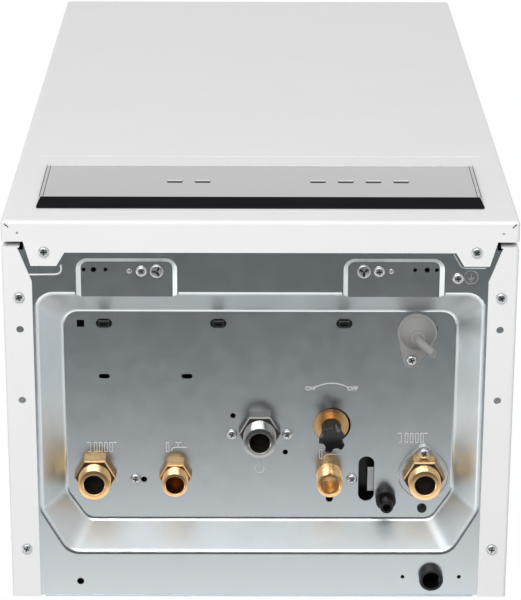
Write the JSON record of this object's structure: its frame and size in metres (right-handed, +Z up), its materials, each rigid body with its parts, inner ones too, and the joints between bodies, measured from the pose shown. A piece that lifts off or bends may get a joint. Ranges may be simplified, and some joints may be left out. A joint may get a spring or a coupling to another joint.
{
  "type": "wall-hung gas boiler",
  "caption": "Wall-hung gas boiler with a white sheet casing, black control panel and keys, and a galvanised bottom tray with pipe fittings, a filling valve and a drain cock.",
  "frame": {"origin": "on the wall plane, at the middle of the casing's lower edge", "axes": "+X to the right seen from the front, +Y into the wall, +Z up"},
  "size_m": [0.403, 0.3274, 0.7751],
  "materials": {
    "white_enamel": "semi-gloss white powder coat",
    "galvanised_steel": "smooth galvanised sheet",
    "brass": "plain turned brass",
    "nickel_plate": "bright nickel plate",
    "zinc_plate": "bright zinc plate",
    "black_plastic": "fine satin nylon",
    "black_gloss": "polished black acrylic",
    "grey_rubber": "matt warm grey rubber",
    "red_enamel": "gloss red enamel",
    "copper": "drawn copper",
    "steel": "plain stainless sheet",
    "cast_aluminium": "as cast",
    "grey_plastic": "moulded grey plastic",
    "circuit_green": "green solder mask",
    "black_rubber": "braided hose",
    "white_ceramic": "glazed ceramic"
  },
  "bodies": {
    "boiler": {"air_pressure_switch": "grey_plastic", "air_vent": "grey_plastic", "bottom_tray": "galvanised_steel", "burner": "steel", "cable_clips": "black_plastic", "cable_gland": "black_plastic", "cable_grommet": "grey_rubber", "chamber_front_plate": "galvanised_steel", "circuit_board": "circuit_green", "cold_water_fitting": "brass", "combustion_firebox": "steel", "control_box": "grey_plastic", "control_panel": "black_gloss", "display_module": "grey_plastic", "diverter_motor": "grey_plastic", "drain_valve_body": "brass", "expansion_hose": "black_rubber", "expansion_vessel": "red_enamel", "fan_housing": "galvanised_steel", "fan_motor": "cast_aluminium", "filling_valve_body": "brass", "flow_pipe": "copper", "flow_water_block": "black_plastic", "flue_collar": "galvanised_steel", "flue_hood": "galvanised_steel", "front_cover": "white_enamel", "gas_fitting": "nickel_plate", "gas_inlet_pipe": "copper", "gas_manifold": "steel", "gas_supply_pipe": "copper", "gas_valve": "cast_aluminium", "heating_flow_fitting": "brass", "heating_return_fitting": "brass", "hot_water_fitting": "brass", "ignition_electrodes": "white_ceramic", "left_side_panel": "white_enamel", "pan_head_screws": "zinc_plate", "plate_heat_exchanger": "steel", "primary_heat_exchanger": "copper", "pump_housing": "grey_plastic", "pump_motor": "cast_aluminium", "rear_frame": "galvanised_steel", "return_flange_plate": "galvanised_steel", "return_pipe": "copper", "return_water_block": "black_plastic", "right_side_panel": "white_enamel", "safety_valve": "brass", "sealed_chamber": "galvanised_steel", "snap_studs": "zinc_plate", "top_plate": "galvanised_steel", "tray_plug": "black_plastic"},
    "filling_knob": {"filling_valve_knob": "black_plastic"},
    "drain_cock": {"drain_cock": "black_plastic"},
    "fan_wheel": {"fan_wheel": "steel"},
    "power_key": {"power_key": "black_gloss"},
    "mode_key": {"mode_key": "black_gloss"},
    "water_minus_key": {"water_minus_key": "black_gloss"},
    "water_plus_key": {"water_plus_key": "black_gloss"},
    "heating_minus_key": {"heating_minus_key": "black_gloss"},
    "heating_plus_key": {"heating_plus_key": "black_gloss"}
  },
  "joints": [
    {"name": "filling_turn", "type": "hinge", "parent": "boiler", "child": "filling_knob", "pos_m": [0.0578, -0.1415, 0.0057], "axis": [0, 0, -1], "range_deg": [0, 270]},
    {"name": "drain_turn", "type": "hinge", "parent": "boiler", "child": "drain_cock", "pos_m": [0.103, -0.0775, 0.0147], "axis": [0, 0, -1], "range_deg": [0, 180]},
    {"name": "fan_spin", "type": "hinge", "parent": "boiler", "child": "fan_wheel", "pos_m": [-0.046, -0.168, 0.659], "axis": [0, 1, 0], "continuous": true},
    {"name": "power_press", "type": "slide", "parent": "boiler", "child": "power_key", "axis": [0, 1, 0], "range_m": [0, 0.0008], "stiffness_N_per_m": 600, "springref_m": -0.0004},
    {"name": "mode_press", "type": "slide", "parent": "boiler", "child": "mode_key", "axis": [0, 1, 0], "range_m": [0, 0.0008], "stiffness_N_per_m": 600, "springref_m": -0.0004},
    {"name": "water_minus_press", "type": "slide", "parent": "boiler", "child": "water_minus_key", "axis": [0, 1, 0], "range_m": [0, 0.0008], "stiffness_N_per_m": 600, "springref_m": -0.0004},
    {"name": "water_plus_press", "type": "slide", "parent": "boiler", "child": "water_plus_key", "axis": [0, 1, 0], "range_m": [0, 0.0008], "stiffness_N_per_m": 600, "springref_m": -0.0004},
    {"name": "heating_minus_press", "type": "slide", "parent": "boiler", "child": "heating_minus_key", "axis": [0, 1, 0], "range_m": [0, 0.0008], "stiffness_N_per_m": 600, "springref_m": -0.0004},
    {"name": "heating_plus_press", "type": "slide", "parent": "boiler", "child": "heating_plus_key", "axis": [0, 1, 0], "range_m": [0, 0.0008], "stiffness_N_per_m": 600, "springref_m": -0.0004}
  ]
}
